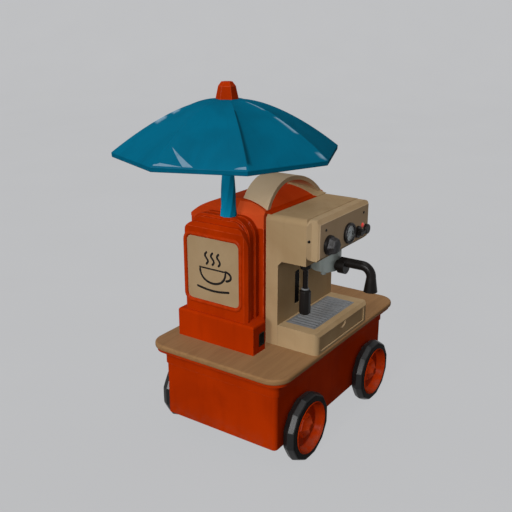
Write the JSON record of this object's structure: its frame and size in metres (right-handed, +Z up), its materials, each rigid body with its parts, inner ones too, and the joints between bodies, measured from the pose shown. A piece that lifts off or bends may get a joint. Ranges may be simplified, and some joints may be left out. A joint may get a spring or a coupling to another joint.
{
  "type": "coffee cart",
  "caption": "Small wheeled coffee cart: counter on a red base with an espresso machine, an upright sign case and a turning parasol.",
  "frame": {"origin": "middle of the base's flat underside", "axes": "+X along the cart away from the sign, -Y towards the barista, +Z up"},
  "size_m": [0.714, 0.533, 0.838],
  "materials": {
    "body_red": "gloss lacquer with worn edges",
    "body_beige": "satin moulded plastic",
    "sign_face": "satin panel",
    "counter_wood": "satin lacquered board",
    "canopy_teal": "gloss moulded shell",
    "mast_teal": "gloss paint",
    "tyre_black": "moulded rubber",
    "black_plastic": "satin moulded plastic",
    "black_metal": "black coated",
    "bright_steel": "polished",
    "plain_steel": "brushed",
    "bush_brass": "plain",
    "boiler_metal": "as cast",
    "pump_grey": "plain",
    "tank_plastic": "clear moulded",
    "dial_face": "printed card",
    "clear_glass": "clear",
    "level_window": "smoked window",
    "lamp_red": "clear red lens"
  },
  "bodies": {
    "cart": {"base_tub": "body_red", "cornice": "body_red", "counter_slab": "counter_wood", "deck_bolts": "plain_steel", "axle_front": "plain_steel", "axle_rear": "plain_steel", "axle_bushes": "bush_brass", "axle_caps": "body_red", "sign_plinth": "body_red", "sign_case": "body_red", "sign_bezel": "body_red", "sign_panel": "sign_face", "mast_socket": "plain_steel", "tray_base": "body_beige", "front_shell": "body_beige", "level_glass": "level_window", "fascia": "body_beige", "rear_housing": "body_red", "water_tank": "tank_plastic", "pump": "pump_grey", "water_pipes": "bush_brass", "boiler": "boiler_metal", "steam_line": "bush_brass", "group_head": "bright_steel", "shower_screen": "bright_steel", "wand_socket": "black_metal", "brew_switch": "black_plastic", "pilot_lamp": "lamp_red", "gauge_case": "black_plastic", "gauge_dial": "dial_face", "gauge_glass": "clear_glass"},
    "front_left_wheel": {"wheel_front_left": "body_red", "tyre_front_left": "tyre_black"},
    "front_right_wheel": {"wheel_front_right": "body_red", "tyre_front_right": "tyre_black"},
    "rear_left_wheel": {"wheel_rear_left": "body_red", "tyre_rear_left": "tyre_black"},
    "rear_right_wheel": {"wheel_rear_right": "body_red", "tyre_rear_right": "tyre_black"},
    "parasol_bush": {"socket_bush": "black_plastic"},
    "parasol": {"mast": "mast_teal", "canopy_hub": "black_plastic", "canopy_ribs": "black_plastic", "canopy_shell": "canopy_teal", "finial": "body_red"},
    "portafilter": {"portafilter_body": "bright_steel", "filter_basket": "bright_steel", "portafilter_handle": "black_plastic"},
    "wand": {"steam_wand": "black_metal", "wand_sleeve": "black_plastic"},
    "steam_valve_knob": {"steam_knob": "black_plastic"},
    "thermostat_knob": {"temp_knob": "black_plastic"},
    "brew_key": {"brew_button": "black_plastic"},
    "needle": {"gauge_needle": "black_metal"},
    "drawer": {"drip_drawer": "body_beige"},
    "grate": {"drip_grate": "plain_steel"},
    "lid": {"tank_lid": "body_red", "lid_handle": "body_beige"}
  },
  "joints": [
    {"name": "front_left_spin", "type": "hinge", "parent": "cart", "child": "front_left_wheel", "pos_m": [-0.166, -0.175, 0.024], "axis": [0, 1, 0], "continuous": true},
    {"name": "front_right_spin", "type": "hinge", "parent": "cart", "child": "front_right_wheel", "pos_m": [-0.166, 0.175, 0.024], "axis": [0, 1, 0], "continuous": true},
    {"name": "rear_left_spin", "type": "hinge", "parent": "cart", "child": "rear_left_wheel", "pos_m": [0.166, -0.175, 0.024], "axis": [0, 1, 0], "continuous": true},
    {"name": "rear_right_spin", "type": "hinge", "parent": "cart", "child": "rear_right_wheel", "pos_m": [0.166, 0.175, 0.024], "axis": [0, 1, 0], "continuous": true},
    {"name": "parasol_turn", "type": "hinge", "parent": "cart", "child": "parasol_bush", "pos_m": [-0.1755, 0.03, 0.484], "axis": [0, 0, 1], "continuous": true},
    {"name": "parasol_lift", "type": "slide", "parent": "parasol_bush", "child": "parasol", "axis": [0, 0, 1], "range_m": [0, 0.19]},
    {"name": "portafilter_turn", "type": "hinge", "parent": "cart", "child": "portafilter", "pos_m": [0, -0.122, 0.377], "axis": [0, 0, 1], "range_deg": [-45, 0]},
    {"name": "wand_swing", "type": "hinge", "parent": "cart", "child": "wand", "pos_m": [-0.1175, -0.137, 0.385], "axis": [-1, 0, 0], "range_deg": [0, 35]},
    {"name": "steam_knob_turn", "type": "hinge", "parent": "cart", "child": "steam_valve_knob", "pos_m": [-0.091, -0.177, 0.438], "axis": [0, -1, 0], "range_deg": [0, 330]},
    {"name": "temp_knob_turn", "type": "hinge", "parent": "cart", "child": "thermostat_knob", "pos_m": [0.049, -0.177, 0.434], "axis": [0, 1, 0], "range_deg": [-135, 135]},
    {"name": "brew_press", "type": "slide", "parent": "cart", "child": "brew_key", "axis": [0, 1, 0], "range_m": [0, 0.004], "stiffness_N_per_m": 500},
    {"name": "needle_sweep", "type": "hinge", "parent": "cart", "child": "needle", "pos_m": [0.004, -0.177, 0.442], "axis": [0, 1, 0], "range_deg": [0, 270], "stiffness_Nm_per_rad": 0.0002},
    {"name": "drawer_slide", "type": "slide", "parent": "cart", "child": "drawer", "axis": [0, -1, 0], "range_m": [0, 0.085]},
    {"name": "grate_lift", "type": "slide", "parent": "cart", "child": "grate", "axis": [0, 0, 1], "range_m": [0, 0.025]},
    {"name": "lid_lift", "type": "slide", "parent": "cart", "child": "lid", "axis": [0, 0, 1], "range_m": [0, 0.06]}
  ]
}
